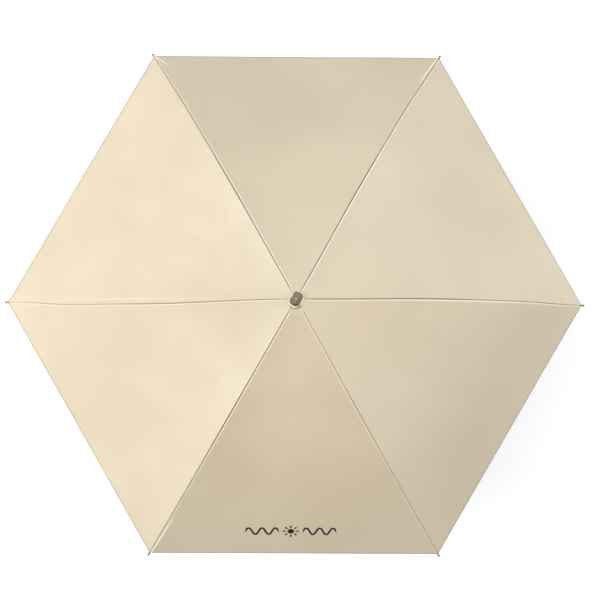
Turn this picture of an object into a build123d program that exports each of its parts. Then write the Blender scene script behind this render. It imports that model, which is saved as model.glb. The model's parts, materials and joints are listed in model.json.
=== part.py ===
from build123d import *
from math import atan2, cos, degrees, hypot, radians, sin, sqrt, tan
import os

# Three-fold umbrella with a flat (oblong) shaft, shown open. Millimetres, +Z up, origin at the centre
# of the handle's underside. Ribs lie in vertical planes every 60 degrees, the first along +X.
# Rib planes use (u, z): u is the distance from the shaft's axis, z the height over the crown pivots.

# ---- driving dimensions -------------------------------------------------------------------------
rib_count = 6
rib_step = 360 / rib_count
end_rib_numbers = (1, 4)            # the two ribs in line with the crown's long axis

crown_height = 546.0                # height of the crown pivots with the shaft drawn out
crown_pivot_end = 9.5               # u of the crown pivot on an end rib
crown_pivot_side = 7.6              # u of the crown pivot on a side rib
knee_u = 152.0                      # pivot between top rib and middle rib
elbow_u = 258.0                     # pivot between middle rib and outer rib
tip_u = 440.0                       # centre of the tip ball
knee_slope = 7.5                    # slope of each rib below the horizontal, degrees
elbow_slope = 20.0
tip_slope = 35.5

# tubes: half length and half width of the oblong section
upper_half = (6.5, 4.0)
middle_half = (5.6, 3.1)
lower_half = (4.7, 2.2)
tube_wall = 0.6
upper_span = (321.0, crown_height + 1.0)
middle_span = (195.0, 353.0)
lower_span = (8.0, 233.0)
collar_height = 6.0
collar_wall = 0.9
slide_gap = 0.3

# crown and runner notches
notch_half = (11.0, 8.6)
notch_slot = 2.2
notch_below = 2.2
notch_above = 3.0
slot_behind_pivot = 1.2
pin_radius = 0.5
pin_gap = 0.08
pin_length = 5.0
rivet_radius = 0.9

# ribs
channel_width = 3.2
channel_wall = 0.4
top_depth = 3.0
middle_depth = 2.6
tongue_width = 1.6
top_back = 1.6                      # rib back over the crown pivot
knee_over_back = 0.3                # knee pivot over the backs of both ribs
elbow_under_edge = 0.3              # elbow pivot under the middle rib's open side
wire_radius = 1.1
wire_over_elbow = 1.4
wire_bow = 4.5
eye_radius = 1.4
elbow_eye = 1.3
eye_reach = 1.8                     # channel stops this far from a pivot
crown_reach = 3.2
tongue_root = 6.0
wire_start = 3.0
tip_length = 8.0
tip_ball = 1.6
tip_sleeve = 1.5

# stretcher
stretcher_seat = 72.0               # stretcher pivot along the top rib
stretcher_drop = 0.6                # stretcher pivot under the crown pivot line
stretcher_length = 100.0
stretcher_half = 0.9
hook_start = 5.5
hook_end = 7.0
hook_face = 0.6                     # hook's face, behind the runner pin by the hook clearance
hook_back = 1.9
hook_toe = 1.2
hook_clearance = 0.1
stretcher_eye = 1.1

# runner
runner_half = (7.8, 5.3)
runner_bore = (upper_half[0] + slide_gap, upper_half[1] + slide_gap)
runner_length = 42.0
runner_grip_half = (10.2, 7.4)
runner_grip_height = 11.0
boss_half = 2.6
boss_top = -12.0
boss_height = 13.0
boss_reach = 7.2
button_half_width = 1.9
button_height = 9.0
button_inner = 6.2
button_outer = 8.6
button_gap = 0.2
button_pocket = 4.85
button_round = 0.6

# crown cap
fabric_seat = 3.4                   # underside of the fabric over the crown
fabric_thick = 0.6
rosette_half = (12.8, 9.6)
rosette_thick = 0.5
cap_half = (10.0, 7.4)
cap_corner = 5.2
cap_thick = 3.4
cap_rise = 1.6
stack_gap = 0.1
rivet_head = 1.7
rivet_head_height = 0.7
rivet_shank_below = 1.6

# canopy
canopy_inner_u = 5.2
canopy_flat_u = 12.0
canopy_edge_u = 436.0
canopy_over_knee = 2.1
canopy_over_elbow = 3.9
canopy_over_tip = 6.1
canopy_bow = 4.6
seam_gap = 0.15

# handle
grip_half = (18.0, 11.0)
grip_bottom = 4.0
grip_top = 52.0
grip_wall = 2.2
grip_round = 4.0
groove_depth = 0.6
groove_width = 2.4
groove_heights = (15.0, 22.0, 29.0, 36.0)
core_gap = 0.3
core_span = (6.0, 45.0)
neck_half = (8.0, 5.5)
neck_top = 67.0
neck_round = 1.2
base_half = (18.0, 11.0)
base_edge = 1.2
base_plug_height = 1.6
handle_pin_height = 18.0
handle_pin_radius = 1.0
eye_lug_reach = 24.4
eye_lug_half = 1.5
eye_lug_radius = 3.1
eye_hole = 1.75
eye_hole_height = 3.4
bridge_inset = 0.2

# ---- rib geometry worked out from the driving dimensions -----------------------------------------
knee = (knee_u, -(knee_u - crown_pivot_end) * tan(radians(knee_slope)))
elbow = (elbow_u, knee[1] - (elbow_u - knee_u) * tan(radians(elbow_slope)))
tip = (tip_u, elbow[1] - (tip_u - elbow_u) * tan(radians(tip_slope)))
knee_rise = top_back + knee_over_back
elbow_fall = knee_over_back + middle_depth + elbow_under_edge

os.makedirs("parts", exist_ok=True)


# ---- shared shapes -------------------------------------------------------------------------------
def oblong(half, z0, z1):
    """Upright bar with an oblong section, between two heights."""
    section = SlotOverall(2 * half[0], 2 * half[1])
    return Pos(0, 0, z0) * extrude(section, z1 - z0)


def oblong_tube(half, wall, z0, z1):
    """Oblong tube: half is its outside, wall its thickness."""
    inner = (half[0] - wall, half[1] - wall)
    return oblong(half, z0, z1) - oblong(inner, z0, z1)


def plate(points, half_width):
    """Flat plate in the rib plane from an outline of (along, up) points."""
    return extrude(Plane.XZ * make_face(Polyline(*points, close=True)), half_width, both=True)


def disc(centre, radius, half_width):
    """Round plate in the rib plane."""
    face = Plane.XZ * Pos(centre[0], centre[1]) * Circle(radius)
    return extrude(face, half_width, both=True)


def cheeks(shape):
    """Keeps the two side walls of a plate and cuts out its middle."""
    inner = channel_width / 2 - channel_wall
    size = 2 * tip_u
    return shape - Box(size, 2 * inner, size)


def channel(start, end, back, depth):
    """Channel rib, open on its lower side."""
    half = channel_width / 2
    outline = [(start, back), (end, back), (end, back - depth), (start, back - depth)]
    body = plate(outline, half)
    hollow = [
        (start - 1, back - channel_wall),
        (end + 1, back - channel_wall),
        (end + 1, back - depth - 1),
        (start - 1, back - depth - 1),
    ]
    return body - plate(hollow, half - channel_wall)


def lug(pivot, radius, root, back, low, half_width):
    """Eye on a short arm: a disc at the pivot joined to the rib's end face at x = root."""
    side = radius if root > pivot[0] else -radius
    outline = [
        (pivot[0], pivot[1] + radius),
        (pivot[0], pivot[1] - radius),
        (pivot[0] + side, min(low, pivot[1] - radius)),
        (root, low),
        (root, back),
    ]
    if low > pivot[1] - radius:
        outline[2] = (pivot[0] + side, pivot[1] - radius)
    if back < pivot[1] + radius:
        outline.append((pivot[0] + side, back))
        outline[0] = (pivot[0], max(back, pivot[1]))
    return disc(pivot, radius, half_width) + plate(outline, half_width)


def at_rib(number, shape):
    """Turns a shape from the +X rib plane to rib number's plane, up to the crown's height."""
    return Pos(0, 0, crown_height) * Rot(0, 0, rib_step * (number - 1)) * shape


def crown_pivot_u(number):
    return crown_pivot_end if number in end_rib_numbers else crown_pivot_side


def placed(u, z, slope, shape):
    """Puts a rib shape, drawn with its inner pivot at the origin, at its pivot and slope."""
    return Pos(u, 0, z) * Rot(0, slope, 0) * shape


def span(start, end):
    return hypot(end[0] - start[0], end[1] - start[1])


def fall(start, end):
    """Slope of the line between two points, degrees below the horizontal."""
    return degrees(atan2(start[1] - end[1], end[0] - start[0]))


# ---- ribs ----------------------------------------------------------------------------------------
def top_rib_frame(number):
    """Length along the rib, and slope, of the top rib."""
    pivot = (crown_pivot_u(number), 0.0)
    reach = span(pivot, knee)
    length = sqrt(reach ** 2 - knee_rise ** 2)
    slope = fall(pivot, knee) + degrees(atan2(knee_rise, length))
    return length, slope


def top_rib(number):
    length, slope = top_rib_frame(number)
    low = top_back - top_depth
    body = channel(crown_reach, length - eye_reach, top_back, top_depth)
    root = crown_reach + tongue_root
    tongue = lug((0, 0), eye_radius, root, top_back - channel_wall / 2, low, tongue_width / 2)
    root = length - eye_reach - 1
    ears = cheeks(lug((length, knee_rise), eye_radius, root, top_back, low, channel_width / 2))
    seat = (stretcher_seat, -stretcher_drop)
    shape = body + tongue + ears
    shape -= disc((0, 0), pin_radius + pin_gap, channel_width)
    shape += disc((length, knee_rise), pin_radius, channel_width / 2)
    shape += disc(seat, pin_radius, channel_width / 2)
    return at_rib(number, placed(crown_pivot_u(number), 0, slope, shape))


def middle_rib(number):
    reach = span(knee, elbow)
    length = sqrt(reach ** 2 - elbow_fall ** 2)
    slope = fall(knee, elbow) - degrees(atan2(elbow_fall, length))
    back = -knee_over_back
    low = back - middle_depth
    body = channel(eye_reach, length - eye_reach, back, middle_depth)
    root = eye_reach + tongue_root
    tongue = lug((0, 0), eye_radius, root, back - channel_wall / 2, low, tongue_width / 2)
    root = length - eye_reach - 1
    ears = cheeks(lug((length, -elbow_fall), elbow_eye, root, back, low, channel_width / 2))
    shape = body + tongue + ears
    shape -= disc((0, 0), pin_radius + pin_gap, channel_width)
    shape += disc((length, -elbow_fall), pin_radius, channel_width / 2)
    return at_rib(number, placed(knee[0], knee[1], slope, shape))


def outer_rib_frame():
    """Length along the rib, and slope, of the outer rib."""
    reach = span(elbow, tip)
    length = sqrt(reach ** 2 - wire_over_elbow ** 2)
    slope = fall(elbow, tip) + degrees(atan2(wire_over_elbow, length))
    return length, slope


def outer_wire():
    """Centre line of the outer rib's wire, a shallow arc."""
    length = outer_rib_frame()[0]
    end = length - tip_length
    middle = ((wire_start + end) / 2, wire_over_elbow + wire_bow)
    return Plane.XZ * ThreePointArc((wire_start, wire_over_elbow), middle, (end, wire_over_elbow))


def outer_rib(number):
    slope = outer_rib_frame()[1]
    path = outer_wire()
    wire = sweep(Plane(path @ 0, z_dir=path % 0) * Circle(wire_radius), path=path)
    root = wire_start + tongue_root
    back = wire_over_elbow + wire_radius / 2
    tongue = lug((0, 0), elbow_eye, root, back, back - wire_radius, tongue_width / 2)
    shape = wire + tongue
    shape -= disc((0, 0), pin_radius + pin_gap, channel_width)
    return at_rib(number, placed(elbow[0], elbow[1], slope, shape))


def rib_tip(number):
    """Moulded tip with a ball end that holds the fabric's corner."""
    slope = outer_rib_frame()[1]
    path = outer_wire()
    end = Plane(path @ 1, z_dir=path % 1)
    sleeve = end * Pos(0, 0, tip_length / 2) * Cylinder(tip_sleeve, tip_length)
    ball = end * Pos(0, 0, tip_length) * Sphere(tip_ball)
    return at_rib(number, placed(elbow[0], elbow[1], slope, sleeve + ball))


def stretcher_seat_at(number):
    """World (u, z) of the stretcher's pivot on the top rib."""
    slope = radians(top_rib_frame(number)[1])
    u = crown_pivot_u(number) + stretcher_seat * cos(slope) - stretcher_drop * sin(slope)
    return u, -stretcher_seat * sin(slope) - stretcher_drop * cos(slope)


def runner_pin_u(number):
    return crown_pivot_u(number) - stretcher_drop - hook_clearance


def runner_pin_z():
    """Height of the runner's pins under the crown pivots, from an end rib's stretcher."""
    seat = stretcher_seat_at(end_rib_numbers[0])
    return seat[1] - sqrt(stretcher_length ** 2 - (seat[0] - runner_pin_u(end_rib_numbers[0])) ** 2)


def stretcher(number):
    """Flat bar from the runner to the top rib. Its inner end is a hook behind the runner's pin."""
    foot = (runner_pin_u(number), runner_pin_z())
    seat = stretcher_seat_at(number)
    length = span(foot, seat)
    outline = [
        (-hook_toe, -hook_face),
        (hook_start, -hook_face),
        (hook_end, stretcher_half),
        (length, stretcher_half),
        (length, -stretcher_half),
        (hook_end + hook_toe, -stretcher_half),
        (hook_end, -hook_back),
        (-hook_toe, -hook_back),
    ]
    bar = plate(outline, tongue_width / 2)
    bar += disc((length, 0), stretcher_eye, tongue_width / 2)
    bar -= disc((length, 0), pin_radius + pin_gap, channel_width)
    return at_rib(number, placed(foot[0], foot[1], fall(foot, seat), bar))


# ---- crown, runner and cap -----------------------------------------------------------------------
def notch(pivot_u, z, bore):
    """Oblong block with a slot for each rib."""
    block = oblong(notch_half, z - notch_below, z + notch_above)
    for number in range(1, rib_count + 1):
        start = pivot_u(number) - slot_behind_pivot - eye_radius / 2
        slot = Pos(start + notch_half[0] / 2, 0, z) * Box(notch_half[0], notch_slot, 4 * notch_above)
        block -= Rot(0, 0, rib_step * (number - 1)) * slot
    return block - bore


def hinge_pins(pivot_u, z):
    """One short cross pin for each slot of a notch."""
    pins = []
    for number in range(1, rib_count + 1):
        pin = Pos(pivot_u(number), 0, z) * Rot(90, 0, 0) * Cylinder(pin_radius, pin_length)
        pins.append(Rot(0, 0, rib_step * (number - 1)) * pin)
    return pins


def crown():
    bore = oblong(upper_half, crown_height - 2 * notch_below, upper_span[1])
    bore += Pos(0, 0, crown_height) * Cylinder(rivet_radius, 4 * notch_above)
    body = notch(crown_pivot_u, crown_height, bore)
    for pin in hinge_pins(crown_pivot_u, crown_height):
        body -= pin
    return body


def runner():
    z = crown_height + runner_pin_z()
    bottom = z - runner_length
    bore = oblong(runner_bore, bottom - 1, z + 2 * notch_above)
    body = notch(runner_pin_u, z, bore)
    for pin in hinge_pins(runner_pin_u, z):
        body -= pin
    sleeve = oblong(runner_half, bottom, z - notch_below)
    sleeve += oblong(runner_grip_half, bottom, bottom + runner_grip_height)
    boss_mid = z + boss_top - boss_height / 2
    sleeve += Pos(0, boss_reach / 2, boss_mid) * Box(2 * boss_half, boss_reach, boss_height)
    pocket_width = 2 * (button_half_width + button_gap)
    pocket = Box(pocket_width, button_outer, button_height + 2 * button_gap)
    sleeve -= Pos(0, button_pocket + button_outer / 2, boss_mid) * pocket
    return body + (sleeve - bore)


def latch_button():
    z = crown_height + runner_pin_z() + boss_top - boss_height / 2
    depth = button_outer - button_inner
    body = Pos(0, button_inner + depth / 2, z) * Box(2 * button_half_width, depth, button_height)
    outer = body.faces().sort_by(Axis.Y)[-1].edges()
    return fillet(outer, button_round)


def crown_cap():
    base = crown_height + fabric_seat + fabric_thick + rosette_thick + 2 * stack_gap
    section = RectangleRounded(2 * cap_half[0], 2 * cap_half[1], cap_corner)
    body = Pos(0, 0, base) * extrude(section, cap_thick)
    body = fillet(body.faces().sort_by(Axis.Z)[-1].edges(), cap_rise)
    return body - Pos(0, 0, base) * Cylinder(rivet_radius, 4 * cap_thick)


def cap_rivet():
    top = crown_height + fabric_seat + fabric_thick + rosette_thick + 2 * stack_gap + cap_thick
    low = crown_height + rivet_shank_below
    shank = Pos(0, 0, (top + low) / 2) * Cylinder(rivet_radius, top - low)
    head = Pos(0, 0, top + rivet_head_height / 2) * Cylinder(rivet_head, rivet_head_height)
    head = fillet(head.faces().sort_by(Axis.Z)[-1].edges(), rivet_head_height / 2)
    return shank + head


def rosette():
    base = crown_height + fabric_seat + fabric_thick + stack_gap
    disc_body = oblong(rosette_half, base, base + rosette_thick)
    return disc_body - Pos(0, 0, base) * Cylinder(rivet_radius, 4 * rosette_thick)


# ---- canopy --------------------------------------------------------------------------------------
def canopy_panel(number):
    """One gore between two ribs: a thin sheet that is straight across, cut to a wedge."""
    half_step = radians(rib_step / 2)
    narrow = cos(half_step)
    line = [
        (canopy_inner_u * narrow, fabric_seat),
        (canopy_flat_u * narrow, fabric_seat),
        (knee[0] * narrow, knee[1] + canopy_over_knee),
        (elbow[0] * narrow, elbow[1] + canopy_over_elbow),
    ]
    hem = (canopy_edge_u * narrow, tip[1] + canopy_over_tip)
    last = line[-1]
    slope = atan2(last[1] - hem[1], hem[0] - last[0])
    mid = ((last[0] + hem[0]) / 2, (last[1] + hem[1]) / 2)
    mid = (mid[0] + canopy_bow * sin(slope), mid[1] + canopy_bow * cos(slope))

    def raised(point):
        return point[0], point[1] + fabric_thick

    under = [Polyline(*line), ThreePointArc(last, mid, hem), Line(hem, raised(hem))]
    over = [ThreePointArc(raised(hem), raised(mid), raised(last))]
    over += [Polyline(*[raised(point) for point in reversed(line)]), Line(raised(line[0]), line[0])]
    section = make_face(under + over)
    sheet = extrude(Plane.XZ * section, tip_u, both=True)
    shift = seam_gap / sin(half_step)
    reach = 2 * tip_u
    spread = (reach - shift) * tan(half_step)
    wedge = Polyline((shift, 0), (reach, spread), (reach, -spread), close=True)
    cutter = Pos(0, 0, -tip_u) * extrude(make_face(wedge), 2 * tip_u)
    return Pos(0, 0, crown_height) * Rot(0, 0, rib_step * (number - 0.5)) * (sheet & cutter)


# ---- shaft and handle ----------------------------------------------------------------------------
def tube_collar(outer_half, inner_half, z0):
    """Plastic collar on a tube's lower end, guiding the next tube."""
    body_half = (outer_half[0] + collar_wall, outer_half[1] + collar_wall)
    body = oblong(body_half, z0 - collar_height / 2, z0 + collar_height / 2)
    body -= oblong(outer_half, z0, z0 + collar_height)
    bore = (inner_half[0] + slide_gap, inner_half[1] + slide_gap)
    return body - oblong(bore, z0 - collar_height, z0 + collar_height)


def handle_grip():
    body = oblong(grip_half, grip_bottom, grip_top)
    body = fillet(body.faces().sort_by(Axis.Z)[-1].edges(), grip_round)
    groove_half = (grip_half[0] - groove_depth, grip_half[1] - groove_depth)
    outside = (grip_half[0] + 1, grip_half[1] + 1)
    for height in groove_heights:
        top = height + groove_width
        body -= oblong(outside, height, top) - oblong(groove_half, height, top)
    cavity = (grip_half[0] - grip_wall, grip_half[1] - grip_wall)
    body -= oblong(cavity, 0, core_span[1] + core_gap)
    return body - oblong(lower_half, 0, 2 * grip_top)


def handle_pin():
    half = grip_half[1] - grip_wall - 2 * core_gap
    return Pos(0, 0, handle_pin_height) * Rot(90, 0, 0) * Cylinder(handle_pin_radius, 2 * half)


def handle_core():
    half = (grip_half[0] - grip_wall - core_gap, grip_half[1] - grip_wall - core_gap)
    body = oblong(half, *core_span) - oblong(lower_half, lower_span[0], 2 * grip_top)
    return body - handle_pin()


def handle_collar():
    body = oblong(neck_half, grip_top, neck_top)
    body = fillet(body.faces().sort_by(Axis.Z)[-1].edges(), neck_round)
    return body - oblong(lower_half, 0, 2 * neck_top)


def handle_end_cap():
    """Bottom cap with the moulded eye for a wrist strap on its -X side."""
    body = oblong(base_half, 0, grip_bottom)
    body = fillet(body.faces().sort_by(Axis.Z)[0].edges(), base_edge)
    plug = (grip_half[0] - grip_wall - core_gap, grip_half[1] - grip_wall - core_gap)
    body += oblong(plug, grip_bottom, grip_bottom + base_plug_height)
    centre = -eye_lug_reach + eye_lug_radius
    lug_disc = Pos(centre, 0, eye_hole_height) * Rot(90, 0, 0) * Cylinder(eye_lug_radius, 2 * eye_lug_half)
    neck_length = -centre - base_half[0] / 2
    bridge = Box(neck_length, 2 * eye_lug_half, grip_bottom - 2 * bridge_inset)
    bridge = Pos(centre + neck_length / 2, 0, grip_bottom / 2) * bridge
    hole = Pos(centre, 0, eye_hole_height) * Rot(90, 0, 0) * Cylinder(eye_hole, 4 * eye_lug_half)
    return body + lug_disc + bridge - hole


def lower_tube():
    return oblong_tube(lower_half, tube_wall, *lower_span) - handle_pin()


# ---- one file for each piece ---------------------------------------------------------------------
nodes = {
    "handle_end_cap": handle_end_cap(),
    "handle_grip": handle_grip(),
    "handle_core": handle_core(),
    "handle_pin": handle_pin(),
    "handle_collar": handle_collar(),
    "lower_tube": lower_tube(),
    "middle_tube": oblong_tube(middle_half, tube_wall, *middle_span),
    "middle_tube_collar": tube_collar(middle_half, lower_half, middle_span[0]),
    "upper_tube": oblong_tube(upper_half, tube_wall, *upper_span),
    "upper_tube_collar": tube_collar(upper_half, middle_half, upper_span[0]),
    "crown": crown(),
    "crown_hinge_pins": Compound(children=hinge_pins(crown_pivot_u, crown_height)),
    "crown_cap": crown_cap(),
    "cap_rivet": cap_rivet(),
    "rosette": rosette(),
    "runner": runner(),
    "runner_hinge_pins": Compound(children=hinge_pins(runner_pin_u, crown_height + runner_pin_z())),
    "latch_button": latch_button(),
}
for index in range(1, rib_count + 1):
    nodes[f"top_rib_{index}"] = top_rib(index)
    nodes[f"middle_rib_{index}"] = middle_rib(index)
    nodes[f"outer_rib_{index}"] = outer_rib(index)
    nodes[f"rib_tip_{index}"] = rib_tip(index)
    nodes[f"stretcher_{index}"] = stretcher(index)
    nodes[f"canopy_panel_{index}"] = canopy_panel(index)

for name, shape in nodes.items():
    export_step(shape, f"parts/{name}.step")
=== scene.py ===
import json
import math

import bpy
import numpy as np
from mathutils import Matrix, Vector


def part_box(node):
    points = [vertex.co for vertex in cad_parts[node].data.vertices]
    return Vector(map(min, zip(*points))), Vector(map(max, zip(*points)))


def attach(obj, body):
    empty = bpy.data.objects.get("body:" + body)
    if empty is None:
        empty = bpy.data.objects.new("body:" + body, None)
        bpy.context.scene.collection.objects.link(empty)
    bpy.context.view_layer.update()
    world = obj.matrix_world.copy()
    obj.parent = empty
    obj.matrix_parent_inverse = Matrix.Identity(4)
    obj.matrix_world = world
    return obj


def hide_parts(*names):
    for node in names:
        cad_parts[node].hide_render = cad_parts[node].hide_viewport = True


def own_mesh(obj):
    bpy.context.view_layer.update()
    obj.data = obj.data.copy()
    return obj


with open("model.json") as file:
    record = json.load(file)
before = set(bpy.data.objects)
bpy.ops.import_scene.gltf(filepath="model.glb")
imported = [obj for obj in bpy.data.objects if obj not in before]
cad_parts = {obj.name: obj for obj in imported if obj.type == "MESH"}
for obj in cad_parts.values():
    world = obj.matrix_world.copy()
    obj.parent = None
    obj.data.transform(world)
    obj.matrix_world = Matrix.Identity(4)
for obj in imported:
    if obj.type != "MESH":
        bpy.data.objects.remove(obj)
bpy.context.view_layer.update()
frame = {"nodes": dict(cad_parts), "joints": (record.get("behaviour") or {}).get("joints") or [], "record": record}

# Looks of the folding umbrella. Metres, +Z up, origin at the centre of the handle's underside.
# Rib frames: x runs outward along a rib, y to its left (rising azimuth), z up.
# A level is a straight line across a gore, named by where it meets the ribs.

MM = 0.001
RIB_COUNT = 6
RIBS = range(1, RIB_COUNT + 1)
STEP = 2 * math.pi / RIB_COUNT
HALF_STEP = STEP / 2

# ---- places taken from the frame -------------------------------------------------------------
joints = {joint["name"]: joint for joint in frame["joints"]}


def pivot(name):
    """Distance from the shaft's axis, and height, of one of rib 1's pivots."""
    x, _, z = joints[name]["pos_m"]
    return x, z


CROWN_Z = pivot("crown_hinge_1")[1]
KNEE_U, KNEE_Z = pivot("knee_hinge_1")
ELBOW_U, ELBOW_Z = pivot("elbow_hinge_1")
BALL_RADIUS = 1.6 * MM
TIP_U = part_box("rib_tip_1")[1].x - BALL_RADIUS
TIP_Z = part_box("rib_tip_1")[0].z + BALL_RADIUS

# ---- cloth: heights of its top side over the crown's pivots, worked out in rib frames ---------
INNER_U = 5.2 * MM                  # hole under the rosette
FLAT_U = 12 * MM
HEM_U = TIP_U - 4 * MM
OVER_CROWN = 4.25 * MM
OVER_KNEE = 3.25 * MM
OVER_ELBOW = 5.05 * MM
HEM_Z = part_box("canopy_panel_1")[0].z - CROWN_Z + 0.85 * MM
BOW = 5.66 * MM                     # outer stretch bulges over its chord by this much
KINK = 15 * MM                      # over a rib, bends are spread over this length each way
WIDE_KINK = 95 * MM                 # on a gore's mid-line, where the cloth is free, over this length
WIDE_SHARE = 0.4                    # but never over more than this share of the level
RIDGE = 1.5 * MM                    # radius of the fold over a rib
SAG = 8 * MM                        # dip of a gore's mid-line, greatest half-way out
CLOTH = 0.3 * MM
ALLOWANCE = 0.35 * MM               # extra thickness of the seam allowance on the underside
ALLOWANCE_WIDTH = 4.5 * MM
ALLOWANCE_EDGE = 0.6 * MM           # over this it thins out to the single cloth
HEM_WIDTH = 5 * MM
HEM_STEP = 0.28 * MM
HEM_EDGE = (0.3 * MM, 0.5 * MM)     # the step's rise lies this far inside and outside the hem's width
STITCH_UP = 4.2 * MM                # stitches of the hem, up from its fold
STITCH_GROOVE = (0.12 * MM, 0.4 * MM)   # depth and half width of the dent they pull
STITCH_HALF = 0.22 * MM            # half width of the thread, on top and on the underside
STITCH_HALF_UNDER = 0.25 * MM
STITCH_PITCH = 2.8 * MM
STITCH_SHARE = 0.72                 # share of the pitch that thread shows
WEAVE_PITCH = 0.55 * MM
# how far each rib's seam drifts to its left at mid-length, and the shares of its length over which it
# comes and goes
DRIFT = {1: 3.6 * MM, 2: -2 * MM, 3: 6.5 * MM, 4: 1 * MM, 5: -2 * MM, 6: 2.8 * MM}
DRIFT_COMES, DRIFT_GOES = (0.0, 0.5), (0.72, 1.0)
# side of each seam its raised welt lies on: 1 left, -1 right; and how strongly the painted shade in its stitched
# groove and the painted highlight on its welt show
WELT_SIDE = {1: -1, 2: -1, 3: 1, 4: 1, 5: -1, 6: -1}
SEAM_SHADING_STRENGTH = {1: 1.0, 2: 0.9, 3: 0.68, 4: 1.0, 5: 0.52, 6: 1.0}
# how clearly a seam shows near the crown, then changes over shares of its length: from, to, change
SEAM_AT_CROWN = 0.84
SEAM_CHANGES = ((0.25, 0.4, 0.16), (0.5, 0.62, -0.35), (0.88, 0.99, -0.2))
# the seam's cross-section, in mm: height, centre and half width of its two welts and its groove
SEAM_SECTION = ((0.50, 1.5, 1.0), (0.16, -1.6, 1.0), (-0.34, 0.0, 0.42))
SMALLEST_SEAM = 0.15                # near the crown a seam shrinks to no less than this share
ZONES = {"inner": (INNER_U, KNEE_U), "middle": (KNEE_U, ELBOW_U), "outer": (ELBOW_U, HEM_U)}
ZONE_BODY = {"inner": "top_rib", "middle": "middle_rib", "outer": "outer_rib"}
ZONE_SLOPE = {"inner": 8.0, "middle": 20.0, "outer": 35.5}
ZONE_ROWS = {"inner": 30, "middle": 24, "outer": 42}
FAR_COLUMNS = 19                    # from the seam's columns to the mid-line, spread by this power
FAR_POWER = 1.25
SEAM_COLUMNS = np.array([0, 0.25, 0.55, 0.9, 1.3, 1.8, 2.4, 3.2, 4.4, 5.4]) * MM
HEM_ROWS = np.array([7, 5.8, 5.2, 4.7, 4.2, 3.7, 2.4, 1.2, 0.5, 0]) * MM
FULL_SEAM_WIDTH = 14 * MM           # where a half gore is narrower than this, its seam shrinks
BEND_SAMPLES = 25
SLOPE_STEP = 0.1 * MM


def ramp(x, low, high):
    """0 below low, 1 above high, smooth between."""
    t = np.clip((x - low) / (high - low), 0, 1)
    return t * t * (3 - 2 * t)


def raw_profile(u):
    """Height of the cloth over a rib, with sharp bends over the pivots."""
    start = ELBOW_Z - CROWN_Z + OVER_ELBOW
    bends = [INNER_U, FLAT_U, KNEE_U, ELBOW_U]
    heights = [OVER_CROWN, OVER_CROWN, KNEE_Z - CROWN_Z + OVER_KNEE, start]
    t = (u - ELBOW_U) / (HEM_U - ELBOW_U)
    outer = start + (HEM_Z - start) * t + 4 * BOW * t * (1 - t)
    return np.where(u < ELBOW_U, np.interp(u, bends, heights), outer)


def profile(u, spread=KINK):
    """Height of the cloth with its bends spread out."""
    offsets = np.linspace(-1, 1, BEND_SAMPLES)
    weights = 1 - np.abs(offsets)
    total = sum(w * raw_profile(u + d * spread) for d, w in zip(offsets, weights))
    return total / weights.sum()


def seam_path(rib, u):
    """How far the seam lies to the left of the rib's line."""
    reach = u / HEM_U
    return DRIFT[rib] * ramp(reach, *DRIFT_COMES) * (1 - ramp(reach, *DRIFT_GOES))


def seam_strength(u):
    reach = u / HEM_U
    return SEAM_AT_CROWN + sum(change * ramp(reach, start, end) for start, end, change in SEAM_CHANGES)


def soft_waves(seed, count, shortest, longest):
    """Random plane waves as (wave vector x, y, phase, size), the same each run."""
    random = np.random.default_rng(seed)
    length = shortest * (longest / shortest) ** random.random(count)
    angle = random.random(count) * 2 * math.pi
    phase = random.random(count) * 2 * math.pi
    size = length / longest / math.sqrt(count)
    number = 2 * math.pi / length
    return np.stack([number * np.cos(angle), number * np.sin(angle), phase, size], 1)


WAVES = soft_waves(seed=7, count=14, shortest=35 * MM, longest=150 * MM)
UNEVEN = 0.9 * MM                   # size of the cloth's soft unevenness
UNEVEN_COMES = (30 * MM, 120 * MM)  # levels over which it grows
UNEVEN_GOES = 60 * MM               # and length before the hem over which most of it dies away
UNEVEN_LOSS = 0.7
CREASE_ANGLES = (12, 25, 41)        # creases fan out from each tip, degrees from the seam
CREASE_SPREAD = math.radians(3.2)
CREASE_SIZE = 0.42 * MM
CREASE_COMES = (3 * MM, 16 * MM)    # distances from the tip over which a crease grows
CREASE_GOES = (25 * MM, 110 * MM)   # and dies away
crease_random = np.random.default_rng(21)
CREASE_SHARE = {(rib, side): crease_random.random(len(CREASE_ANGLES)) for rib in RIBS for side in (1, -1)}
CREASE_SHARE[2, -1] = np.array([0.3, 2.2, 0.4])     # one corner has a single deep crease


def waves(x, y):
    return sum(size * np.sin(kx * x + ky * y + phase) for kx, ky, phase, size in WAVES)


def creases(rib, side, x, y):
    out_x = HEM_U - x
    distance = np.hypot(out_x, y)
    angle = np.arctan2(side * y, out_x)
    along = ramp(distance, *CREASE_COMES) * (1 - ramp(distance, *CREASE_GOES))
    total = 0
    for centre, share in zip(CREASE_ANGLES, CREASE_SHARE[rib, side]):
        total = total + share * np.exp(-(((angle - math.radians(centre)) / CREASE_SPREAD) ** 2))
    return CREASE_SIZE * along * total


def levels(x, y):
    """Level, and share of the way from the rib (0) to the mid-line (1), of a point."""
    across = np.abs(y)
    level = x + across * math.tan(HALF_STEP)
    return level, np.clip(across / (level * math.sin(HALF_STEP) * math.cos(HALF_STEP)), 0, 1)


def seam_offset(rib, x, y):
    """Distance off the seam, positive on the side of its raised welt."""
    return WELT_SIDE[rib] * (y - seam_path(rib, x))


def seam_size(level):
    """Share of its full size that a seam has where the gores are narrow."""
    return np.clip(level * math.tan(HALF_STEP) / FULL_SEAM_WIDTH, SMALLEST_SEAM, 1)


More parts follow.
